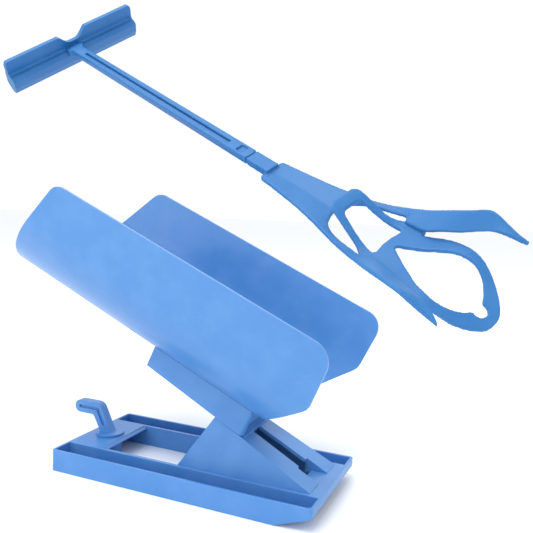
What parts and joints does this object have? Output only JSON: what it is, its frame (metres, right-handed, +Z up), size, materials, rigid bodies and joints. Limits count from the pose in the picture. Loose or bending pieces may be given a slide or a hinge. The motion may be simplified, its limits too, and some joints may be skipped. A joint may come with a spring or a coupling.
{
  "type": "sock aid",
  "caption": "Sock aid with a half-round cradle that slides on a ramp, a tray base with a swivel hook, and a long T-handled fork-and-loop tool.",
  "frame": {"origin": "on the floor, at the centre of the base's footprint, on the underside of a cross rib", "axes": "+X along the base from the heel end (hook) to the toe end (foot of the ramp), +Z up, +Y to the left when facing +X"},
  "size_m": [0.5211, 0.2706, 0.4738],
  "materials": {
    "pale_blue": "glossy moulded plastic with a fine uneven sheen",
    "steel_blue": "satin moulded plastic"
  },
  "bodies": {
    "base": {"base_tray": "pale_blue", "ramp": "pale_blue"},
    "hook": {"hook_peg": "pale_blue", "hook_cap": "pale_blue"},
    "cradle": {"cradle_shell": "pale_blue", "cradle_foot": "pale_blue", "slide_key": "pale_blue"},
    "tool": {"grip": "steel_blue", "shaft": "steel_blue"},
    "tool_head": {"fork": "steel_blue", "loops": "steel_blue"}
  },
  "joints": [
    {"name": "hook_swivel", "type": "hinge", "parent": "base", "child": "hook", "pos_m": [-0.109, 0, 0.02], "axis": [0, 0, 1], "continuous": true},
    {"name": "cradle_slide", "type": "slide", "parent": "base", "child": "cradle", "axis": [0.891, 0, -0.454], "range_m": [0, 0.0615]},
    {"name": "tool_lift", "type": "slide", "parent": "base", "child": "tool", "axis": [0, 0, 1], "range_m": [0, 0.25]},
    {"name": "head_pull", "type": "slide", "parent": "tool", "child": "tool_head", "axis": [0.8546, -0.3166, -0.4117], "range_m": [0, 0.03]}
  ]
}
